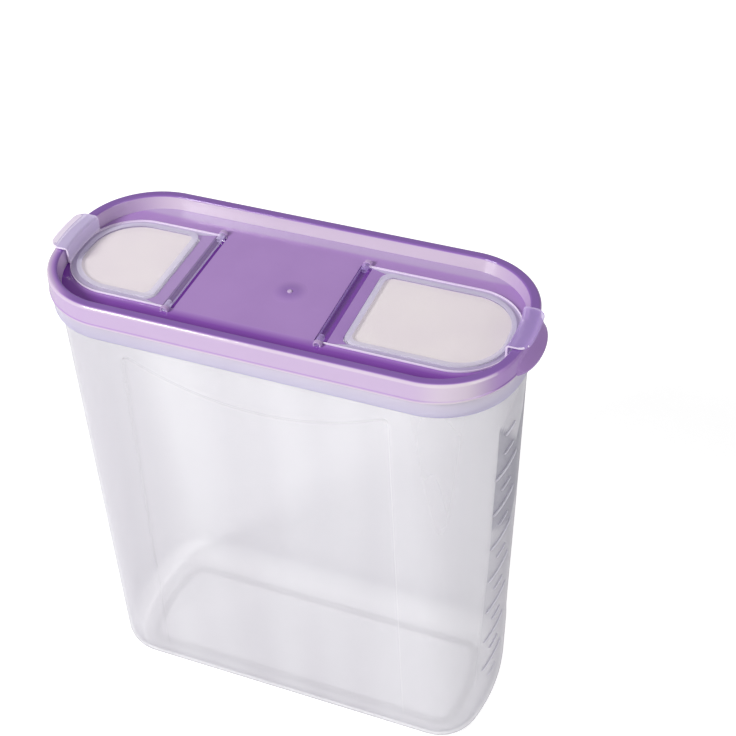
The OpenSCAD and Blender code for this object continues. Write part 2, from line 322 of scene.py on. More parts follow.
def long_side(cx, z):
    """x of the columns along a long side, from the corner at cx to the one at -cx."""
    half = panel_half(z)
    outside = [mix(cx, half + PANEL_EDGE, (i + 1) / (PANEL_OUT_N + 1)) for i in range(PANEL_OUT_N)]
    inner = half - PANEL_EDGE
    xs = outside + [half + PANEL_EDGE * k / 2 for k in (2, 1, 0, -1)]
    xs += [mix(inner, -inner, i / PANEL_IN_N) for i in range(PANEL_IN_N + 1)]
    xs += [-half + PANEL_EDGE * k / 2 for k in (1, 0, -1, -2)]
    return xs + [-x for x in reversed(outside)]


def wall_size(z, inset):
    g = (COLLAR_Z - z) / COLLAR_Z
    return (LID_L - 2 * (WALL_IN_X + DRAFT * g + inset), LID_W - 2 * (WALL_IN_Y + DRAFT * g + inset),
            mix(CORNER_R - WALL_IN_Y, FOOT_CORNER_R, g) - inset,
            mix(END_R - WALL_IN_X, FOOT_END_R, g) - inset)


def wall_ring(z, inset, height=None, spread=None):
    """A ring of the drafted wall at z, with the outline that the wall has at height."""
    columns_z = z if height is None else height
    return at(outline(*wall_size(columns_z, inset), TUB_CORNER_N, TUB_END_N,
                      lambda cx: long_side(cx, columns_z), spread), z)


# The panel in the right end wall. END_PANEL has its half width by height. The scoop is its lighter upper
# part, and painted shade and dark reflection darken the panel between the scoop and the line that starts
# at DARK_PATCH_LOW.
END_PANEL = ((249.0, 20.5), (229.0, 22.9), (203.0, 23.3), (170.0, 24.1), (137.0, 24.6), (112.0, 26.2),
             (60.0, 29.0))
END_PANEL_D = 0.5
END_PANEL_EDGE = 0.6
END_PANEL_TOP = 243.0
END_PANEL_TOP_SOFT = 3.0
END_PANEL_ARCH = 0.62
END_PANEL_LOW = 40.0
END_PANEL_LOW_RUN = 12.0
END_PANEL_FAN = 60.0
END_EDGE_COLUMN = 18
STEEPEST = -0.999
SCOOP_Z = 203.5
SCOOP_RISE = 1.17
SCOOP_SOFT = 2.6
# How dark the painted shade is above the scoop's line, in the dark patch, and under its lower line.
SCOOP_DARK = 0.1
DARK_PATCH_LOW = 145.5
DARK_PATCH_RISE = 0.68
DARK_PATCH_SOFT = 4.0
DARK_PATCH_SHADE = 0.85
UNDER_DARK = 0.3
UNDER_Z = (70.0, 60.0)


def end_spread(z):
    """Sets four columns of each corner on the end panel's upright edge."""
    length, width, r, e = wall_size(z, 0)
    cy = width / 2 - r
    a = math.atan2(cy, math.sqrt((e - r) ** 2 - cy * cy))
    edge = math.asin(clamp((cy - table(END_PANEL, z)) / r, STEEPEST, 0))
    step = END_PANEL_EDGE / r
    stops = [edge - step, edge - step / 3, edge + step / 3, edge + step]
    rest = TUB_CORNER_N - END_EDGE_COLUMN - 3

    def spread(i):
        if i < END_EDGE_COLUMN:
            t = mix(-HALF_PI, stops[0], i / END_EDGE_COLUMN)
        elif i < END_EDGE_COLUMN + 4:
            t = stops[i - END_EDGE_COLUMN]
        else:
            t = mix(stops[3], -a, (i - END_EDGE_COLUMN - 3) / rest)
        return (t + HALF_PI) / (HALF_PI - a)
    return spread


def end_panel(y, z):
    """How deep the end wall is at a point, from its sunken panel, and how dark: painted shade and dark
    reflection.
    """
    y = abs(y)
    side = within(y, table(END_PANEL, z), 2 * END_PANEL_EDGE)
    tall = within(z, END_PANEL_TOP - END_PANEL_ARCH * y, END_PANEL_TOP_SOFT)
    tall *= rise(z, END_PANEL_LOW, END_PANEL_LOW_RUN)
    scoop = within(z, SCOOP_Z + SCOOP_RISE * y, SCOOP_SOFT)
    low = smooth((z - DARK_PATCH_LOW - DARK_PATCH_RISE * y) / DARK_PATCH_SOFT + 0.5)
    dark = DARK_PATCH_SHADE * scoop * low + SCOOP_DARK * (1 - scoop) + UNDER_DARK * (1 - low) * rise(z, *UNDER_Z)
    return END_PANEL_D * side * tall, -dark * side * tall


def panel_edge_z(x):
    """Height of the panel's curved upper edge at x."""
    x = clamp(abs(x), 0, PANEL_HALF)
    r = (PANEL_HALF ** 2 + PANEL_SAG ** 2) / (2 * PANEL_SAG)
    over = clamp(x - (PANEL_HALF - PANEL_ROUND), 0, PANEL_ROUND)
    turn = PANEL_ROUND - math.sqrt(PANEL_ROUND ** 2 - over ** 2)
    return COLLAR_Z - PANEL_DROP - PANEL_SAG + r - math.sqrt(r * r - x * x) - turn


def panelled_row(z_of, inside):
    """A ring of the outer wall whose height follows z_of(x), sunk inside the panels by inside(x, z).
    Its points are (x, y, z, tone)."""
    flat = wall_ring(COLLAR_Z, 0)
    n = len(flat) // 2
    arc = 2 * (TUB_CORNER_N + 1) + TUB_END_N - 1
    z_corner = z_of(PANEL_HALF + PANEL_MARGIN)
    level = wall_ring(z_corner, 0, spread=end_spread(z_corner))
    ring = []
    for k, (x, y, _) in enumerate(flat):
        side = k // n
        if k % n < arc:
            x, y, z = level[k]
            depth, tone = end_panel(y, z) if side == 0 else (0.0, 0.0)
            turn = math.atan2(y, END_PANEL_FAN)
            ring.append((x - depth * math.cos(turn), y - depth * math.sin(turn), z, tone))
            continue
        z = z_of(x)
        length, width, r, e = wall_size(z, 0)
        run = math.sqrt((e - r) ** 2 - (width / 2 - r) ** 2)
        column = long_side(length / 2 - e + run, z)[k % n - arc]
        sign = -1 if side else 1
        ring.append((sign * column, sign * (width / 2 - inside(column, z)), z, 0.0))
    return ring


def panel_depth(x, z, top):
    side = within(abs(x), panel_half(z), 2 * PANEL_EDGE)
    foot = smooth((z - PANEL_LOW + PANEL_FOOT) / PANEL_FOOT_RUN)
    return mix(PANEL_D_LOW, PANEL_D, z / COLLAR_Z) * side * top * foot


def foot_ring(base, inset, r, up, n):
    rings = []
    for i in range(n + 1):
        a = HALF_PI * (1 - i / n if up else i / n)
        z = base + r * (1 - math.sin(a))
        rings.append(wall_ring(z, inset + r * (1 - math.cos(a))))
    return rings


def tub_along(cx):
    return long_side(cx, COLLAR_Z)


def collar_ring(inset, z):
    return at(outline(LID_L - 2 * (COLLAR_IN_X + inset), LID_W - 2 * (COLLAR_IN_Y + inset),
                      CORNER_R - COLLAR_IN_Y - inset, END_R - COLLAR_IN_X - inset,
                      TUB_CORNER_N, TUB_END_N, tub_along), z)


def mouth_ring(inset, z):
    return at(skirt_outline(inset, z, TUB_CORNER_N, TUB_END_N, tub_along), z)


# Profiles of the tub are (inset, height), and PANEL_STEP is (place across the edge, share of the depth).
# UNDERSIDE's insets count on from the foot's rounding.
COLLAR_TOP = SKIRT_Z - 0.9
MOUTH_R = 0.4
MOUTH_R_MID = 0.12
UNDERSIDE = ((6.0, 0.8), (5.2, 0.8), (5.0, 0.2), (4.6, 0.0))
NECK = ((0, COLLAR_Z - 0.3), (-0.2, COLLAR_Z - 0.05))
COLLAR = ((0.3, COLLAR_Z), (0.08, COLLAR_Z + 0.25), (0, COLLAR_Z + 0.6), (0, SKIRT_Z - 1.1),
          (0.2, COLLAR_TOP))
MOUTH = ((MOUTH_OUT + 0.2, COLLAR_TOP), (MOUTH_OUT, SKIRT_Z - 0.6), (MOUTH_OUT, MOUTH_Z - MOUTH_R),
         (MOUTH_OUT + MOUTH_R_MID, MOUTH_Z - MOUTH_R_MID), (MOUTH_OUT + MOUTH_R, MOUTH_Z),
         (MOUTH_IN - MOUTH_R, MOUTH_Z), (MOUTH_IN - MOUTH_R_MID, MOUTH_Z - MOUTH_R_MID),
         (MOUTH_IN, MOUTH_Z - MOUTH_R), (MOUTH_IN, COLLAR_Z + 2))
PANEL_STEP = ((-1, 1.0), (-0.5, 0.84), (0, 0.5), (0.5, 0.16), (1, 0.0))
LOWER_N = 92
UPPER_N = 6
INNER_N = 16
INNER_TOP = COLLAR_Z - 2
INNER_LOW = FOOT_ROUND + 1
FOOT_N = 14
INNER_FOOT_N = 10
# Painted shade on the inner foot, where the back wall curves into the floor.
INNER_FOOT_SHADE = -0.3

# The collar's tones by height, with a painted shade line along its lower edge. Above the last height its
# band has COLLAR_BAND_TONE, up to COLLAR_TOP.
COLLAR_TONES = ((COLLAR_Z - 0.2, 0.0), (COLLAR_Z + 0.3, 1.0), (COLLAR_Z + 0.7, 0.3))
COLLAR_BAND_TONE = 0.05


def collar_tone(z):
    """The collar's thin lower edge is painted lilac-blue, a painted shade line, and its band a little so.
    """
    if z > COLLAR_TOP:
        return 0.0
    for below, tone in COLLAR_TONES:
        if z < below:
            return tone
    return COLLAR_BAND_TONE


def tub_shell():
    rings = [wall_ring(z, FOOT_ROUND + inset, 0.0) for inset, z in UNDERSIDE]
    rings += foot_ring(0, 0, FOOT_ROUND, True, FOOT_N)
    for i in range(1, LOWER_N):
        t = i / LOWER_N
        rings.append(panelled_row(lambda x: mix(FOOT_ROUND, panel_edge_z(x) - PANEL_EDGE, t),
                                  lambda x, z: panel_depth(x, z, 1.0)))
    for k, top in PANEL_STEP:
        rings.append(panelled_row(lambda x: panel_edge_z(x) + k * PANEL_EDGE,
                                  lambda x, z: panel_depth(x, z, top)))
    for i in range(1, UPPER_N):
        t = i / UPPER_N
        rings.append(panelled_row(lambda x: mix(panel_edge_z(x) + PANEL_EDGE, NECK[0][1], t),
                                  lambda x, z: 0.0))
    rings += [wall_ring(z, inset) for inset, z in NECK]
    rings += [collar_ring(inset, z) for inset, z in COLLAR]
    rings += [mouth_ring(inset, z) for inset, z in MOUTH]
    rings += [wall_ring(mix(INNER_TOP, INNER_LOW, i / INNER_N), WALL) for i in range(INNER_N)]
    inner_foot = foot_ring(FLOOR_T, WALL, FOOT_ROUND - WALL, False, INNER_FOOT_N)
    rings += [[(x, y, z, INNER_FOOT_SHADE) for x, y, z in ring] for ring in inner_foot[:-2]]
    rings += inner_foot[-2:]
    verts, faces = skin([[p[:3] for p in ring] for ring in rings])
    return verts, faces, [p[3] if len(p) > 3 else collar_tone(p[2]) for ring in rings for p in ring]


# The graduation ribs. Every second one is long, but for the top one. A rib's section is
# (out from the wall, up or down), and its ends are lower and narrower by the shares given.
SCALE_LOW = 37.0
SCALE_N = 16
SCALE_PITCH = 12.2
SCALE_Y = -11.0
RIB_LONG = 25.0
RIB_SHORT = 11.0
RIB_WIDE = 1.25
RIB_NARROW = 0.8
RIB_ROOT = 0.9
RIB_SECTION = ((-RIB_ROOT, -0.8), (0.02, -0.76), (0.2, -0.5), (0.28, 0.0), (0.2, 0.5), (0.02, 0.76),
               (-RIB_ROOT, 0.8))
RIB_END_OUT = 0.6
RIB_END_WIDE = 0.5
RIB_END_POWER = 8
RIB_N = 14


def graduation_rib(i):
    """A rounded rib that follows the bowed end wall."""
    z = SCALE_LOW + i * SCALE_PITCH
    half = (RIB_LONG if i % 2 and i < SCALE_N - 1 else RIB_SHORT) / 2
    g = (COLLAR_Z - z) / COLLAR_Z
    e = mix(END_R - WALL_IN_X, FOOT_END_R, g)
    face_x = LID_L / 2 - WALL_IN_X - DRAFT * g
    rings = []
    for k in range(RIB_N + 1):
        s = -1 + 2 * k / RIB_N
        y = SCALE_Y + half * s
        full = math.sqrt(max(0.0, 1 - abs(s) ** RIB_END_POWER))
        x = face_x - e + math.sqrt(e * e - y * y)
        slope = y / e
        ring = []
        for u, v in RIB_SECTION:
            out = -RIB_ROOT + (u + RIB_ROOT) * mix(RIB_END_OUT, 1.0, full)
            wide = v * mix(RIB_END_WIDE, 1.0, full) * (RIB_WIDE if i % 2 else RIB_NARROW)
            ring.append((x + out, y + out * slope, z + wide))
        rings.append(ring)
    return toned(skin(rings), 0.0, RAISED)


# The lid: columns along its outline, then where its hinges, openings and blocks stand.
LID_CORNER_N = 40
LID_END_N = 28
SHORT_HINGE = 50.0
LONG_HINGE = 27.6
OPENING_START = 9.0
OPENING_END = 10.5
OPENING_W = 55.0
OPENING_OUT_R = 24.0
OPENING_IN_R = 5.0
FLAP_LAP = 3.4
KNUCKLE_Y = OPENING_W / 2 + FLAP_LAP
EAR_Y = KNUCKLE_Y + 0.3
AXIS_Z = 263.9

# The rim's section is (inset, height). SKIRT_FOOT's heights are above the skirt's lower edge.
SKIRT_FOOT = ((SKIRT_T - 0.1, 0), (0.25, 0), (0.07, 0.08), (0, 0.28), (0, 1.05), (0.08, 1.3), (0.26, 1.52),
              (0.36, 1.75))
RIM_ROUND = 1.9
RIM_ROUND_IN = 1.0
PLUG_WALL = ((RECESS_IN, LID_FLOOR_Z), (6.25, 258.9), (6.1, 258.8), (5.45, 258.8), (5.3, 258.85),
             (CHANNEL_IN, 259.6), (CHANNEL_IN, MOUTH_Z), (CHANNEL_OUT, MOUTH_Z), (SKIRT_T, SKIRT_Z + 0.2))

# The rim's tones, painted light and shade. ROOF_Z and the other pairs along an axis are where a change
# starts and over what length it comes. INNER_WALL_TONES are the tones at the middle and at the ends.
# Painted shade on the rim's top, which faces up, away from the light.
ROOF_SHADE = -0.55
ROOF_Z = (270.55, 0.42)
# Painted light on the rim's top at the near-left, which faces the light.
NEAR_LEFT_LIGHT = 0.45
NEAR_LEFT_X = (88.0, 18.0)
NEAR_LEFT_Y = (-12.0, 16.0)
SKIRT_IN = 3.2
# Painted light on the skirt: paler all round, paler still at the left end, which faces the light, and
# darker at the right end, in shade.
SKIRT_LIGHT = 0.5
SKIRT_END_LIGHTS = ((1, (78.0, 16.0), 0.85), (1, (101.0, 16.0), -0.1), (-1, (60.0, 30.0), 0.4),
               (-1, (106.0, 12.0), 1.2))
# A painted highlight along the rim's outer rounding, except at the ends.
SHOULDER_HIGHLIGHT = 0.3
SHOULDER_X = 112.0
SHOULDER_Z = (269.3, 0.5)
# A painted highlight on the skirt's lower edge, and a painted shade line in the step above it.
HEM_HIGHLIGHT = 0.3
HEM_LEAST = 0.6
HEM_Z = SKIRT_Z + 0.3
BEAD_SHADE = 0.3
BEAD_LOW = SKIRT_Z + 1.2
BEAD_HIGH = SKIRT_Z + 1.6
# Painted light on the rim's inner walls: paler along the long sides, less so at the ends.
INNER_WALL_IN = 5.4
INNER_WALL_TONES = (0.9, 0.4)
INNER_WALL_X = (80.0, 30.0)
INNER_WALL_Z = (269.9, 0.8)
SLACK = 0.1


def lid_rim():
    section = [(inset, SKIRT_Z + up) for inset, up in SKIRT_FOOT]
    foot_in, foot_up = SKIRT_FOOT[-1]
    for i in range(1, 6):
        t = i / 6
        section.append((mix(foot_in, SKIRT_LEAN, t), mix(SKIRT_Z + foot_up, RIM_TOP - RIM_ROUND, t)))
    for i in range(11):
        t = HALF_PI * i / 10
        inset = SKIRT_LEAN + RIM_ROUND * (1 - math.cos(t))
        section.append((inset, RIM_TOP - RIM_ROUND * (1 - math.sin(t))))
    for i in range(8):
        t = HALF_PI * i / 7
        inset = RIM_IN - RIM_ROUND_IN * (1 - math.sin(t))
        section.append((inset, RIM_TOP - RIM_ROUND_IN * (1 - math.cos(t))))
    for i in range(1, 5):
        t = i / 4
        section.append((mix(RIM_IN, RECESS_IN, t), mix(RIM_TOP - RIM_ROUND_IN, RECESS_Z, t)))
    section += PLUG_WALL
    rings = [at(skirt_outline(inset, z, LID_CORNER_N, LID_END_N), z) for inset, z in section]
    verts, faces = skin(rings, loop=True)
    tones = []
    for (inset, z), ring in zip(section, rings):
        tones += [rim_tone(inset, z, x, y) for x, y, _ in ring]
    return verts, faces, tones


def skirt_tone(z, x):
    # Painted light and shade on the skirt, by x and height.
    tone = SKIRT_LIGHT
    for side, span, next_tone in SKIRT_END_LIGHTS:
        tone = mix(tone, next_tone, rise(side * x, *span))
    if abs(x) < SHOULDER_X:
        tone += SHOULDER_HIGHLIGHT * rise(z, *SHOULDER_Z)
    if z < HEM_Z:
        tone = max(tone, HEM_LEAST) + HEM_HIGHLIGHT
    elif BEAD_LOW < z < BEAD_HIGH:
        tone -= BEAD_SHADE
    return tone


def rim_tone(inset, z, x, y):
    """How pale the rim is: paler on the skirt and the long inner walls, painted light, and deeper on top
    and at the ends, painted shade.
    """
    if inset < SKIRT_IN and z > SKIRT_Z - SLACK:
        lit_near_left = rise(-x, *NEAR_LEFT_X) * rise(-y, *NEAR_LEFT_Y)
        roof = mix(ROOF_SHADE, NEAR_LEFT_LIGHT, lit_near_left)
        return mix(skirt_tone(z, x), roof, rise(z, *ROOF_Z))
    if inset > INNER_WALL_IN and z > RECESS_Z - SLACK:
        wall = mix(*INNER_WALL_TONES, rise(abs(x), *INNER_WALL_X))
        return mix(wall, ROOF_SHADE, rise(z, *INNER_WALL_Z))
    return ROOF_SHADE


# The strip of floor under the near rim, a painted shadow of the near rim. NEAR_EDGE has how far from the
# middle it starts, by x, and NEAR_ROWS has (share of its width, tone).
NEAR_EDGE = ((40.0, 29.0), (31.0, 29.5), (24.0, 35.0), (0.0, 36.0), (-45.0, 35.0), (-53.0, 29.5),
             (-60.0, 29.0))
NEAR_END = 112.3
NEAR_UNDER_PLATE = 1.3
NEAR_BOW = 0.8
NEAR_LEAST = 0.1
NEAR_ROWS = ((0.0, 1.0), (0.14, 0.6), (0.32, 0.15), (1.0, -0.15))
NEAR_UP = 0.02
NEAR_ROOT = 0.3
NEAR_N = 110


def near_edge(x):
    """How far from the middle the painted shadow strip of floor starts at x, just under the flap plates."""
    r = OPENING_OUT_R + FLAP_LAP
    over = clamp(abs(x) - (PLATE_END - r), 0, r)
    return min(table(NEAR_EDGE, x), KNUCKLE_Y - r + math.sqrt(r * r - over * over) - NEAR_UNDER_PLATE)


def near_wall(x):
    """How far from the middle the inner wall's foot stands at x."""
    half = LID_W / 2 - RECESS_IN
    r = CORNER_R - RECESS_IN
    over = clamp(abs(x) - (LID_L / 2 - RECESS_IN - r - NEAR_BOW), 0, r)
    return half - r + math.sqrt(r * r - over * over)


def near_rim_shadow():
    """A painted shadow of the near rim: the floor's strip under the near rim, a hair above it, deeper in
    tone the nearer to the rim.
    """
    rings = []
    tones = []
    for i in range(NEAR_N + 1):
        x = NEAR_END * math.sin(HALF_PI * (2 * i / NEAR_N - 1))
        wall = near_wall(x)
        edge = min(near_edge(x), wall - NEAR_LEAST)
        ring = [(x, -mix(edge, wall, share), RECESS_Z + NEAR_UP) for share, tone in NEAR_ROWS]
        rings.append(ring + [(px, py, RECESS_Z - NEAR_ROOT) for px, py, pz in reversed(ring)])
        row_tones = [tone for share, tone in NEAR_ROWS]
        tones += row_tones + row_tones[::-1]
    verts, faces = skin(rings)
    return verts, faces, tones, SHADE_SLOT


# The lift tabs: half width, middle of the crescent, how deep it roots, and (height, reach) from below.
TAB_HALF = 20.5
TAB_X = 116.0
TAB_OVER = 4.0
TAB_ROOT = 1.0
TAB_PROFILE = ((260.7, 4.55), (260.82, 4.8), (261.1, 4.9), (261.5, 4.9), (261.8, 4.78), (261.98, 4.5),
               (263.0, 3.3), (264.4, 1.7), (265.6, 0.4), (266.4, -0.2))
TAB_N = 32


def tab_root(y):
    return LID_L / 2 - END_R + math.sqrt((END_R - TAB_ROOT) ** 2 - y ** 2)


def lift_tab(sign):
    """The crescent under the skirt's end, thin at its edge and with a gusset up to the skirt."""
    rings = []
    for z, reach in TAB_PROFILE:
        points = []
        for i in range(TAB_N + 1):
            t = math.radians(-90 + 180 * i / TAB_N)
            y = TAB_HALF * math.sin(t)
            points.append((max(TAB_X + (reach + TAB_OVER) * math.cos(t), tab_root(y)), y, z))
        for i in range(1, TAB_N):
            y = TAB_HALF - 2 * TAB_HALF * i / TAB_N
            points.append((tab_root(y), y, z))
        rings.append([(sign * x, y, z) for x, y, z in points])
    return skin(rings)


def opening(hinge, grow):
    return round_box(hinge + OPENING_START - grow, LID_L / 2 - OPENING_END + grow, OPENING_W / 2 + grow,
                     OPENING_IN_R + grow, OPENING_OUT_R + grow)


# The trough under a hinge: outside (inset, corner radius, height) and inside (grow, height).
TROUGH_HALF = 3.0
TROUGH_WALL = 1.2
TROUGH_OUT = ((0.6, 0.4, 258.6), (0.3, 0.6, 258.9), (0.0, 0.8, 259.2), (0.0, 0.8, 262.3))
TROUGH_IN = ((0.1, 262.3), (-0.05, 260.6), (-0.4, 260.2))
TROUGH_R = 0.3


def trough(x):
    """The pan under a hinge, open at the top."""
    rings = []
    for inset, r, z in TROUGH_OUT:
        half = TROUGH_HALF + LID_FLOOR_T - inset
        rings.append(at(small_box(x - half, x + half, EAR_Y + TROUGH_WALL - inset, r), z))
    for grow, z in TROUGH_IN:
        half = TROUGH_HALF + grow
        rings.append(at(small_box(x - half, x + half, EAR_Y - (TROUGH_HALF - half), TROUGH_R), z))
    return skin(rings)


# The blocks beside the knuckles, with the bores of the hinge pins.
EAR_HALF = 2.0
EAR_LOW = 262.7
EAR_TOP = 265.7
EAR_ROUND = 1.4
EAR_T = 2.2
EAR_BEVEL = 0.15
EAR_N = 12
BORE_R = 1.15
BORE_N = 20


def ear(x, side):
    """A block beside a knuckle, rounded over the pin's bore, with its hole."""
    outer = [(x - EAR_HALF, EAR_LOW), (x + EAR_HALF, EAR_LOW)]
    for i in range(EAR_N + 1):
        t = math.pi * i / EAR_N
        outer.append((x + EAR_HALF * math.cos(t), EAR_TOP - EAR_ROUND + EAR_ROUND * math.sin(t)))
    hole = []
    for i in range(BORE_N):
        t = -2 * math.pi * i / BORE_N
        hole.append((x + BORE_R * math.cos(t), AXIS_Z + BORE_R * math.sin(t)))
    verts, faces = plate_with_holes("ear", outer, [hole], 0.0, EAR_T, EAR_BEVEL)
    return [(vx, side * (EAR_Y + vz), vy) for vx, vy, vz in verts], faces


# The gate mark and the low swell round it, both (radius, height), and the tones of the lid's small parts.
SWELL = ((9.0, 262.9), (9.0, 263.19), (7.4, 263.26), (5.4, 263.44), (3.6, 263.58), (2.4, 263.6),
         (1.7, 263.5), (0.6, 263.4))
SWELL_N = 48
SWELL_TONE = -0.32
SWELL_RUN = 7.0
GATE = ((1.25, 262.7), (1.25, 263.6), (1.15, 263.9), (0.9, 264.1), (0.55, 264.18), (0.2, 264.05))
# A painted highlight makes the gate mark pale.
GATE_HIGHLIGHT = 0.5
EAR_TONE = 0.3
# Painted light and shade on the lift tabs: the right one, in shade, darker; the left one, facing the light,
# paler.
RIGHT_TAB_SHADE = -0.05
LEFT_TAB_LIGHT = 1.2
FLOOR_IN = CHANNEL_IN + 0.75
FLOOR_BEVEL = 0.18


def gate_swell():
    verts, faces = turned(SWELL, SWELL_N)
    outer = SWELL[0][0]
    tones = [SWELL_TONE * smooth((outer - math.hypot(x, y)) / SWELL_RUN) for x, y, z in verts]
    return verts, faces, tones


def build_lid():
    hinges = (LONG_HINGE, -SHORT_HINGE)
    holes = [opening(LONG_HINGE, 0), [(-x, y) for x, y in opening(SHORT_HINGE, 0)]]
    holes += [small_box(x - TROUGH_HALF, x + TROUGH_HALF, EAR_Y, TROUGH_R) for x in hinges]
    floor = plate_with_holes("floor", skirt_outline(FLOOR_IN, SKIRT_Z, LID_CORNER_N, LID_END_N),
                             holes, LID_FLOOR_Z, RECESS_Z, FLOOR_BEVEL)
    # The troughs take the dark violet material: painted shade in the pans.
    parts = [lid_rim(), floor] + [toned(trough(x), 0.0, SHADE_SLOT) for x in hinges] + [near_rim_shadow()]
    parts += [toned(ear(x, side), EAR_TONE) for x in hinges for side in (1, -1)]
    parts += [toned(lift_tab(1), RIGHT_TAB_SHADE), toned(lift_tab(-1), LEFT_TAB_LIGHT)]
    return parts + [gate_swell(), toned(turned(GATE), GATE_HIGHLIGHT)]


# The flaps, built for the right end. The short one is mirrored. Profiles are (inset or grow, height), and
# the plate's heights are above its underside.
FLAP_Z = 263.3
FLAP_T = 1.2
HEEL = 1.9
HEEL_STRIP = 0.35
PLATE_END = LID_L / 2 - RECESS_IN - 0.4
PLATE_R = 0.8
PLATE = ((0.3, 0), (0.1, 0.08), (0, 0.28), (0, 0.9), (0.06, 1.08), (0.28, 1.2))
PLUG_IN = 1.65
PLUG = ((-0.35, 263.5), (-0.35, 260.5), (-0.45, 260.22), (-0.7, 260.1), (-1.35, 260.1), (-1.56, 260.22),
        (-PLUG_IN, 260.5), (-PLUG_IN, 263.5))
WINDOW_START = 3.2
WINDOW_R = OPENING_IN_R - 1
WINDOW_STEP = 0.04
WINDOW_ROOT = 0.3
RING_START = 2.4
PAD_GROW = -PLUG_IN - 0.03
RING_GROW = 0.3
RING_IN_START = 0.6
RING_IN_END = 2.1
RING_IN_SIDE = 2.3
RING_IN_R = 2.2


def flap_plate(hinge):
    rings = []
    for inset, up in PLATE:
        rings.append(at(round_box(hinge - HEEL + inset, PLATE_END - inset, KNUCKLE_Y - inset,
                                  PLATE_R - inset, OPENING_OUT_R + FLAP_LAP - inset), FLAP_Z + up))
    return skin(rings)


def plug_rim(hinge):
    return skin([at(opening(hinge, grow), z) for grow, z in PLUG], loop=True)


def window_start(hinge):
    return hinge + OPENING_START + WINDOW_START


def window_pad(hinge):
    """A hair's step on the plate's underside, inside the plug rim, where the plate is frosted near-white:
    painted light for the lit tub seen through it.
    """
    window = round_box(window_start(hinge), LID_L / 2 - OPENING_END + PAD_GROW, OPENING_W / 2 + PAD_GROW,
                       WINDOW_R, OPENING_OUT_R + PAD_GROW)
    return skin([at(window, FLAP_Z - WINDOW_STEP), at(window, FLAP_Z + WINDOW_ROOT)])


def window_ring(hinge):
    """A hair's step up on the plate, over the plug rim, where the plate is painted milky pale: painted
    light over the plug rim's shade.
    """
    root = FLAP_Z + FLAP_T - WINDOW_ROOT
    top = FLAP_Z + FLAP_T + WINDOW_STEP
    outer = round_box(window_start(hinge) - RING_START, LID_L / 2 - OPENING_END + RING_GROW,
                      OPENING_W / 2 + RING_GROW, OPENING_IN_R + RING_GROW, OPENING_OUT_R + RING_GROW)
    inner = round_box(window_start(hinge) + RING_IN_START, LID_L / 2 - OPENING_END - RING_IN_END,
                      OPENING_W / 2 - RING_IN_SIDE, WINDOW_R, OPENING_OUT_R - RING_IN_R)
    return skin([at(outer, root), at(outer, top), at(inner, top), at(inner, root)], loop=True)


# The finger lip's middle line, as (radius about the end's centre, height), from the plate outwards.
LIP_R = 1.15
LIP_R_N = 8
LIP_START = ((80.0, 263.9), (83.2, 263.9))
LIP_WALL = ((84.35, 265.05), (84.35, 268.0), (84.35, 270.85))
LIP_BRIM = ((85.5, 272.0), (87.5, 272.0), (90.0, 272.02), (91.0, 272.06), (92.0, 272.16), (93.0, 272.33),
            (93.7, 272.45))
LIP_END = 94.0
LIP_NOSE = 0.3
LIP_NOSE_N = 6
LIP_NOSE_SHARE = 0.5
LIP_HALF = 15.0
LIP_CORNER = 5.0
LIP_HALF_T = 0.6
LIP_SIDE = 0.3
LIP_SIDE_SHARE = 0.55
LIP_N = 44


def lip_line():
    points = list(LIP_START)
    r, z = LIP_START[-1]
    for i in range(1, LIP_R_N):
        t = HALF_PI * i / LIP_R_N
        points.append((r + LIP_R * math.sin(t), z + LIP_R * (1 - math.cos(t))))
    points += LIP_WALL
    r, z = LIP_WALL[-1]
    for i in range(1, LIP_R_N):
        t = HALF_PI * i / LIP_R_N
        points.append((r + LIP_R * (1 - math.cos(t)), z + LIP_R * math.sin(t)))
    return points + list(LIP_BRIM)


def lip_section(reach, thick):
    """Closed section of the lip. Its free edge is round, and thin where a corner cuts it short."""
    line = []
    for r, z in lip_line():
        if r > reach:
            r0, z0 = line[-1]
            t = (reach - r0) / (r - r0) if r > r0 else 1
            r, z = reach, mix(z0, z, t)
        line.append((r, z))
    sides = []
    for k in range(len(line)):
        a = line[max(k - 1, 0)]
        b = line[min(k + 1, len(line) - 1)]
        dx, dz = b[0] - a[0], b[1] - a[1]
        size = math.hypot(dx, dz) or 1.0
        sides.append((-dz / size, dx / size))
    upper = [(p[0] + n[0] * thick, p[1] + n[1] * thick) for p, n in zip(line, sides)]
    lower = [(p[0] - n[0] * thick, p[1] - n[1] * thick) for p, n in zip(line, sides)]
    end, normal = line[-1], sides[-1]
    along = (normal[1], -normal[0])
    nose = []
    for i in range(1, LIP_NOSE_N):
        t = HALF_PI - math.pi * i / LIP_NOSE_N
        nose.append((end[0] + thick * (normal[0] * math.sin(t) + along[0] * math.cos(t) * LIP_NOSE_SHARE),
                     end[1] + thick * (normal[1] * math.sin(t) + along[1] * math.cos(t) * LIP_NOSE_SHARE)))
    return upper + nose + lower[::-1]


def finger_lip():
    """The lip's section swept along the bowed end, with round corners and thinner sides."""
    centre = LID_L / 2 - END_R
    rings = []
    for k in range(-LIP_N, LIP_N + 1):
        y = LIP_HALF * math.sin(k / LIP_N * HALF_PI)
        over = max(0.0, abs(y) - (LIP_HALF - LIP_CORNER))
        cut = LIP_CORNER - math.sqrt(max(0.0, LIP_CORNER ** 2 - over ** 2))
        near = clamp((LIP_HALF - abs(y)) / LIP_SIDE)
        thick = LIP_HALF_T * mix(LIP_SIDE_SHARE, 1.0, math.sqrt(near * (2 - near)))
        section = lip_section(LIP_END - LIP_NOSE - cut, thick)
        rings.append([(centre + math.sqrt(r * r - y * y), y, z) for r, z in section])
    return skin(rings)


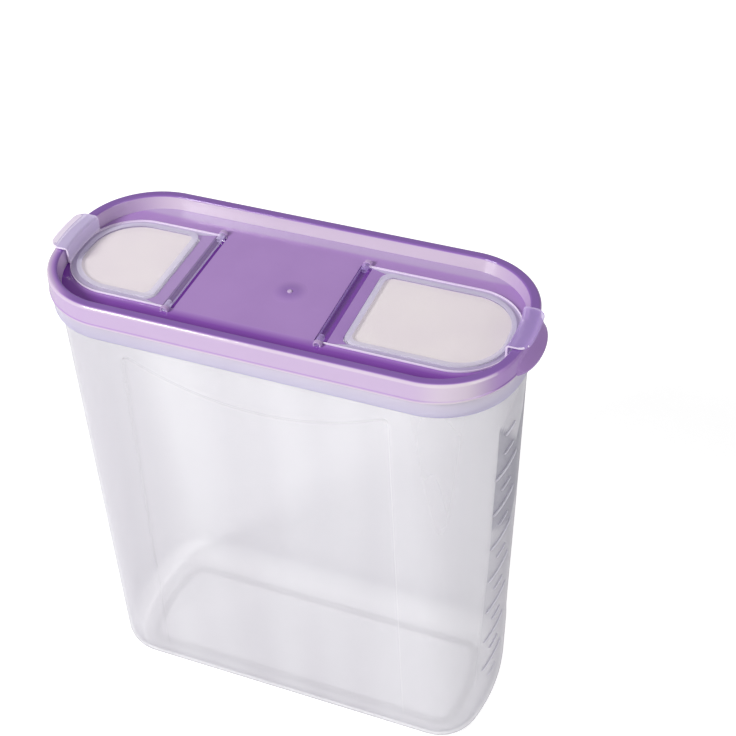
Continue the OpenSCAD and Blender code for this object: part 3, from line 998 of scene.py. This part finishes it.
# A knuckle with its pin: (radius, distance) from the knuckle's inner end and from its outer end.
KNUCKLE_L = 4.5
KNUCKLE_IN = ((1.2, 0), (1.45, 0.12), (1.5, 0.35))
KNUCKLE_OUT = ((1.5, -0.35), (1.45, -0.12), (1.25, -0.02), (1.1, 0), (1.1, 1.9), (0.98, 2.12), (0.7, 2.2))


def knuckle(hinge, sign):
    profile = [(r, KNUCKLE_Y - KNUCKLE_L + y) for r, y in KNUCKLE_IN]
    profile += [(r, KNUCKLE_Y + y) for r, y in KNUCKLE_OUT]
    return rod([(r, sign * y) for r, y in profile], hinge, AXIS_Z)


def build_flap(name, hinge, mirrored, plate, lip):
    target = mesh_object(name, [flap_plate(hinge)], mirrored=mirrored)
    parts = (plug_rim(hinge), window_pad(hinge), window_ring(hinge), finger_lip(), knuckle(hinge, 1),
             knuckle(hinge, -1))
    joined(target, [mesh_object("%s_part%d" % (name, k), [part], mirrored=mirrored)
                    for k, part in enumerate(parts)])
    split_large_faces(target)
    paint(target, plate, frosted, lip, edge_highlight, ridge)
    for face in target.data.polygons:
        x, y, z = face.center / MM
        face.material_index = flap_slot(hinge, -1 if mirrored else 1, x, y, z, face.normal)
    finish_shading(target, SHARP)
    weighted(target)
    return target


def split_large_faces(obj):
    """Cuts the many-sided faces that a union leaves, so that each lies on one side of an edge."""
    bm = bmesh.new()
    bm.from_mesh(obj.data)
    bmesh.ops.triangulate(bm, faces=[f for f in bm.faces if len(f.verts) > 4])
    bm.to_mesh(obj.data)
    bm.free()


# Material slots of the tub, the lid and a flap.
MILKY, RAISED, BANDED, LOWER = range(4)
PURPLE, SHADE_SLOT = range(2)
CLEAR, FROSTED, HAZY, EDGE_HIGHLIGHT, RIDGE = range(5)

# Where a flap's materials meet. Normals tell flat faces from edges.
KNUCKLE_ZONE = KNUCKLE_Y - 5
LIP_ZONE = PLATE_END + 0.3
LEFT_LIP_EDGE = 118.6
FLAT = 0.9
ROUNDED = 0.93
SIDEWAYS = 0.8


def flap_slot(hinge, sign, x, y, z, normal):
    """Clear beside the hinge, frosted in the window and milky round it, both painted light, hazy on the
    lip, and painted highlights on edges.
    """
    x *= sign
    top = FLAP_Z + FLAP_T
    near_step = WINDOW_STEP / 4
    if x < hinge - HEEL + HEEL_STRIP or (abs(x - hinge) < HEEL and abs(y) > KNUCKLE_ZONE):
        return HAZY
    if normal.z < -FLAT and abs(z - FLAP_Z + WINDOW_STEP) < near_step:
        return FROSTED
    if normal.z > FLAT and abs(z - top - WINDOW_STEP) < near_step:
        return RIDGE
    if z < FLAP_Z - 2 * WINDOW_STEP:
        return RIDGE
    if z > top + 2 * WINDOW_STEP or x > LIP_ZONE:
        # On the short flap the lip's outer part takes the edge material too: painted light where the pale
        # floor lies behind it.
        on_edge = abs(normal.y) > SIDEWAYS or (sign < 0 and x > LEFT_LIP_EDGE)
        return EDGE_HIGHLIGHT if on_edge else HAZY
    if abs(normal.z) < ROUNDED:
        return EDGE_HIGHLIGHT
    if normal.z < 0 and x > window_start(hinge) - RING_START:
        return RIDGE
    return CLEAR


def node(tree, kind, **values):
    made = tree.nodes.new(kind)
    for key, value in values.items():
        if key in made.inputs:
            made.inputs[key].default_value = value
        else:
            setattr(made, key, value)
    return made


def colour(r, g, b):
    """Linear colour of an sRGB value from 0 to 255."""
    out = []
    for c in (r, g, b):
        c = c / 255
        out.append(c / 12.92 if c <= 0.04045 else ((c + 0.055) / 1.055) ** 2.4)
    return (*out, 1.0)


# The part of the cloud noise's range over which colour and gloss change, and the moulded grain.
COLOUR_RANGE = (0.25, 0.75)
GLOSS_RANGE = (0.3, 0.7)
GRAIN_SCALE = 1400.0
GRAIN_BUMP = 0.04
GRAIN_DEPTH = 0.0002


def plastic(name, low, high, rough, values, alpha=None, pale=None, band=None, cloud=45.0, detail=3.0,
            stretch=1.0):
    """Moulded plastic: soft flow clouds in its colour and gloss, and a fine moulded grain. alpha is
    (face on, at a glancing angle, blend)."""
    material = bpy.data.materials.new(name)
    material.use_nodes = True
    tree = material.node_tree
    shader = tree.nodes["Principled BSDF"]
    place = node(tree, "ShaderNodeTexCoord")
    clouds = node(tree, "ShaderNodeTexNoise", Scale=cloud, Detail=detail, Roughness=0.5)
    flow = node(tree, "ShaderNodeMapping")
    flow.inputs["Scale"].default_value = (1.0, 1.0, stretch)
    tree.links.new(place.outputs["Object"], flow.inputs["Vector"])
    tree.links.new(flow.outputs["Vector"], clouds.inputs["Vector"])
    ramp = node(tree, "ShaderNodeValToRGB")
    ramp.color_ramp.interpolation = "EASE"
    for element, position, tint in zip(ramp.color_ramp.elements, COLOUR_RANGE, (low, high)):
        element.position = position
        element.color = colour(*tint)
    tree.links.new(clouds.outputs["Fac"], ramp.inputs["Fac"])
    hue = ramp.outputs["Color"]
    if pale:
        hue = with_pale(tree, hue, *pale)
    if band:
        hue = with_painted_reflection(tree, hue, place, band)
    tree.links.new(hue, shader.inputs["Base Color"])
    gloss = node(tree, "ShaderNodeMapRange")
    gloss.inputs["From Min"].default_value = GLOSS_RANGE[0]
    gloss.inputs["From Max"].default_value = GLOSS_RANGE[1]
    gloss.inputs["To Min"].default_value = rough[0]
    gloss.inputs["To Max"].default_value = rough[1]
    tree.links.new(clouds.outputs["Fac"], gloss.inputs["Value"])
    tree.links.new(gloss.outputs["Result"], shader.inputs["Roughness"])
    fine = node(tree, "ShaderNodeTexNoise", Scale=GRAIN_SCALE, Detail=2.0, Roughness=0.6)
    tree.links.new(place.outputs["Object"], fine.inputs["Vector"])
    bump = node(tree, "ShaderNodeBump", Strength=GRAIN_BUMP, Distance=GRAIN_DEPTH)
    tree.links.new(fine.outputs["Fac"], bump.inputs["Height"])
    tree.links.new(bump.outputs["Normal"], shader.inputs["Normal"])
    for key, value in values.items():
        shader.inputs[key].default_value = value
    if alpha:
        facing = node(tree, "ShaderNodeLayerWeight", Blend=alpha[2])
        veil = node(tree, "ShaderNodeMapRange")
        veil.inputs["To Min"].default_value = alpha[0]
        veil.inputs["To Max"].default_value = alpha[1]
        tree.links.new(facing.outputs["Facing"], veil.inputs["Value"])
        tree.links.new(veil.outputs["Result"], shader.inputs["Alpha"])
    return material


def mixed(tree, factor, first, second):
    """Mixes a colour output with a colour by a factor output."""
    made = node(tree, "ShaderNodeMix", data_type="RGBA")
    tree.links.new(factor, made.inputs["Factor"])
    tree.links.new(first, made.inputs[6])
    made.inputs[7].default_value = second
    return made.outputs[2]


def arithmetic(tree, operation, first, second):
    """A maths node of an output and either a number or another output."""
    made = node(tree, "ShaderNodeMath", operation=operation)
    tree.links.new(first, made.inputs[0])
    if isinstance(second, float):
        made.inputs[1].default_value = second
    else:
        tree.links.new(second, made.inputs[1])
    return made.outputs[0]


def with_pale(tree, hue, light_colour, shade_colour):
    """Painted light and shade by each vertex's tone: above zero towards the light colour, painted light
    through thin plastic with white close behind and on lit faces; below zero towards the painted shade
    colour.
    """
    walls = node(tree, "ShaderNodeAttribute", attribute_name="pale")
    hue = mixed(tree, walls.outputs["Fac"], hue, colour(*light_colour))
    thick = arithmetic(tree, "MULTIPLY", walls.outputs["Fac"], -1.0)
    return mixed(tree, thick, hue, colour(*shade_colour))


# The floor's pale band, a painted reflection, in metres: where it begins, where it is full, where it ends,
# and its top.
FLOOR_BAND_START = 0.0375
FLOOR_BAND_FULL = 0.0405
FLOOR_BAND_END = 0.0456
FLOOR_BAND_TOP = 0.2633


def with_painted_reflection(tree, hue, place, reflection_colour):
    """A painted reflection of the lit far inner wall: the lid's floor is paler in a band along the far long
    side only.
    """
    split = node(tree, "ShaderNodeSeparateXYZ")
    tree.links.new(place.outputs["Object"], split.inputs[0])
    aside = node(tree, "ShaderNodeMath", operation="ABSOLUTE")
    tree.links.new(split.outputs["Y"], aside.inputs[0])
    across = node(tree, "ShaderNodeMapRange", interpolation_type="SMOOTHSTEP")
    across.inputs["From Min"].default_value = FLOOR_BAND_START
    across.inputs["From Max"].default_value = FLOOR_BAND_FULL
    tree.links.new(split.outputs["Y"], across.inputs["Value"])
    below = arithmetic(tree, "LESS_THAN", split.outputs["Z"], FLOOR_BAND_TOP)
    inner = arithmetic(tree, "LESS_THAN", aside.outputs[0], FLOOR_BAND_END)
    both = arithmetic(tree, "MULTIPLY", below, inner)
    band = arithmetic(tree, "MULTIPLY", both, across.outputs["Result"])
    return mixed(tree, band, hue, colour(*reflection_colour))


FIRM = {"IOR": 1.5}
THIN = {"IOR": 1.45}
FILM = {"IOR": 1.45, "Specular IOR Level": 0.25}
# Painted shade on the tub: lilac-blue for the collar's lower edge and dark grey for the end panel's dark
# patch and the inner foot.
TUB_SHADE_COLOURS = ((140, 132, 208), (104, 102, 128))
# Painted shade: the dark violet for the rim's top and the lid's other shaded parts.
SHADE_VIOLET = (84, 22, 142)

# The lid's purple. Its pale colour is painted light on the skirt, the inner walls and the lit left end; its
# band colour is a painted reflection on the floor.
purple = plastic("purple_plastic", (172, 135, 198), (176, 139, 202), (0.1, 0.15), FIRM,
                 pale=((220, 207, 219), SHADE_VIOLET), band=(186, 164, 205))
milky = plastic("milky_plastic", (222, 219, 227), (234, 232, 239), (0.28, 0.34), FIRM, (0.14, 0.8, 0.35),
                pale=TUB_SHADE_COLOURS, cloud=38.0, detail=0.0, stretch=0.12)
raised = plastic("rib_plastic", (226, 224, 236), (231, 229, 240), (0.28, 0.34), FIRM, (0.7, 0.85, 0.35),
                 detail=1.0)
clear = plastic("clear_plastic", (190, 150, 226), (196, 157, 230), (0.08, 0.12), FILM, (0.02, 0.22, 0.3))
# Painted light: a paler copy of the clear plastic for the short flap, which faces the light.
lit_clear = plastic("lit_clear_plastic", (227, 208, 246), (232, 214, 249), (0.08, 0.12), FILM, (0.07, 0.28, 0.3))
# Painted light: the window is nearly opaque and near-white, standing for the lit inside of the tub seen
# through the plate.
frosted = plastic("frosted_plastic", (248, 240, 238), (251, 244, 240), (0.3, 0.4), THIN, (0.94, 0.97, 0.3))
hazy = plastic("hazy_plastic", (196, 168, 232), (202, 175, 236), (0.12, 0.18), THIN, (0.34, 0.75, 0.3))
# Painted light: a paler copy of the hazy plastic for the short flap's lip.
lit_hazy = plastic("lit_hazy_plastic", (226, 212, 250), (231, 218, 252), (0.12, 0.18), THIN, (0.45, 0.85, 0.3))
# Painted shade: a dark violet purple for the hinge troughs and the strip of floor under the near rim.
deep = plastic("shade_purple_plastic", (121, 48, 164), (126, 53, 169), (0.1, 0.15), FIRM,
               pale=((176, 137, 204), SHADE_VIOLET))
lower = plastic("floor_plastic", (240, 239, 243), (245, 243, 247), (0.28, 0.34), FIRM, (0.12, 0.5, 0.35),
                cloud=38.0, detail=0.0)
banded = plastic("collar_plastic", (208, 199, 217), (212, 204, 221), (0.28, 0.34), FIRM, (0.72, 0.9, 0.35),
                 pale=TUB_SHADE_COLOURS, detail=1.0)
# Painted light: a milky pale plastic over the plug rim, where its walls would show in shade.
ridge = plastic("ridge_plastic", (222, 214, 238), (228, 221, 243), (0.12, 0.18), THIN, (0.6, 0.85, 0.3))
# Painted highlight: a nearly opaque whitish plastic on the flaps' edges, for their bright edge lines.
edge_highlight = plastic("edge_highlight_plastic", (246, 232, 253), (250, 238, 255), (0.1, 0.14), THIN, (0.85, 0.95, 0.35))


def paint(obj, *materials):
    """Sets an object's materials. Emptying the list resets face slots, so an empty one is left alone."""
    if obj.data.materials:
        obj.data.materials.clear()
    for material in materials:
        obj.data.materials.append(material)


# The four moulded pieces.
COLLAR_BAND_LOW = COLLAR_Z + 0.05
COLLAR_BAND_HIGH = SKIRT_Z - 0.95
TUB_FLOOR_Z = 4.5
LEVEL = 0.8

tub = mesh_object("tub_shell", [tub_shell()] + [graduation_rib(i) for i in range(SCALE_N)], sharp=TUB_SHARP)
lid = mesh_object("lid_moulding", build_lid())
weighted(lid)
short_flap = build_flap("short_flap_moulding", SHORT_HINGE, True, lit_clear, lit_hazy)
long_flap = build_flap("long_flap_moulding", LONG_HINGE, False, clear, hazy)
paint(tub, milky, raised, banded, lower)
paint(lid, purple, deep)
for face in tub.data.polygons:
    if COLLAR_BAND_LOW < face.center.z / MM < COLLAR_BAND_HIGH:
        face.material_index = BANDED
    elif face.center.z / MM < TUB_FLOOR_Z and abs(face.normal.z) > LEVEL:
        face.material_index = LOWER
for obj, body, finish, replaced in (
        (tub, "tub", "tub", "container_body"), (lid, "lid", "lid", "lid"),
        (short_flap, "short_flap", "flap", "short_flap"), (long_flap, "long_flap", "flap", "long_flap")):
    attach(obj, body)
    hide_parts(replaced)
for name, material in (("container_body", milky), ("lid", purple), ("short_flap", clear),
                       ("long_flap", clear)):
    paint(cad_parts[name], material)

# The pale floor, which glows a little in the picture but lights nothing, and the soft studio light.
GROUND_SIZE = 6.0
GROUND_CELLS = 8
GROUND_GREY = 0.8
GROUND_ROUGH = 0.9
GROUND_GLOW = 0.6
WORLD_LIGHT = 0.34
LAMPS = (("key", (-1.15, -1.45, 1.5), (0, 0, 0.2), 0.6, 41),
         ("fill", (1.7, -0.55, 0.7), (0, 0, 0.15), 0.9, 10),
         ("top", (0.05, 0.25, 1.7), (0, 0, 0.2), 0.8, 0.8))
WHITE = (1, 1, 1, 1)

bm = bmesh.new()
bmesh.ops.create_grid(bm, x_segments=GROUND_CELLS, y_segments=GROUND_CELLS, size=GROUND_SIZE)
ground_mesh = bpy.data.meshes.new("ground")
bm.to_mesh(ground_mesh)
bm.free()
ground = bpy.data.objects.new("ground", ground_mesh)
bpy.context.scene.collection.objects.link(ground)
ground_material = bpy.data.materials.new("pale_floor")
ground_material.use_nodes = True
tree = ground_material.node_tree
floor_shader = tree.nodes["Principled BSDF"]
floor_shader.inputs["Base Color"].default_value = (GROUND_GREY, GROUND_GREY, GROUND_GREY, 1)
floor_shader.inputs["Roughness"].default_value = GROUND_ROUGH
floor_shader.inputs["Specular IOR Level"].default_value = 0.0
rays = node(tree, "ShaderNodeLightPath")
seen = arithmetic(tree, "MAXIMUM", rays.outputs["Is Camera Ray"], rays.outputs["Is Transmission Ray"])
tree.links.new(arithmetic(tree, "MULTIPLY", seen, GROUND_GLOW), floor_shader.inputs["Emission Strength"])
floor_shader.inputs["Emission Color"].default_value = WHITE
paint(ground, ground_material)

world = bpy.data.worlds.new("studio")
bpy.context.scene.world = world
world.use_nodes = True
world.node_tree.nodes["Background"].inputs["Color"].default_value = WHITE
world.node_tree.nodes["Background"].inputs["Strength"].default_value = WORLD_LIGHT

for name, place, target, size, energy in LAMPS:
    data = bpy.data.lights.new(name, "AREA")
    data.size = size
    data.energy = energy
    lamp = bpy.data.objects.new(name, data)
    bpy.context.scene.collection.objects.link(lamp)
    lamp.location = place
    lamp.rotation_mode = "QUATERNION"
    lamp.rotation_quaternion = (Vector(target) - Vector(place)).to_track_quat("-Z", "Y")

# The camera stands at its place in metres, turned by the angles in degrees.
CAMERA_AT = (0.2283, -0.4721, 0.6639)
CAMERA_AZ = 21.856
CAMERA_EL = 40.683
CAMERA_ROLL = -1.648
CAMERA_CLIP = 0.05
FOCAL_PX = 1384.2
FRAME_PX = 736
SENSOR = 36.0
az, el, roll = (math.radians(v) for v in (CAMERA_AZ, CAMERA_EL, CAMERA_ROLL))
back = Vector((math.sin(az) * math.cos(el), -math.cos(az) * math.cos(el), math.sin(el)))
right = (-back).cross(Vector((0, 0, 1))).normalized()
up = right.cross(-back)
right, up = right * math.cos(roll) + up * math.sin(roll), up * math.cos(roll) - right * math.sin(roll)
camera_data = bpy.data.cameras.new("camera")
camera_data.sensor_width = SENSOR
camera_data.lens = FOCAL_PX / FRAME_PX * SENSOR
camera_data.clip_start = CAMERA_CLIP
camera = bpy.data.objects.new("camera", camera_data)
bpy.context.scene.collection.objects.link(camera)
camera.matrix_world = Matrix(((right.x, up.x, back.x, CAMERA_AT[0]), (right.y, up.y, back.y, CAMERA_AT[1]),
                              (right.z, up.z, back.z, CAMERA_AT[2]), (0, 0, 0, 1)))
bpy.context.scene.camera = camera

bpy.context.scene.view_settings.view_transform = "Standard"
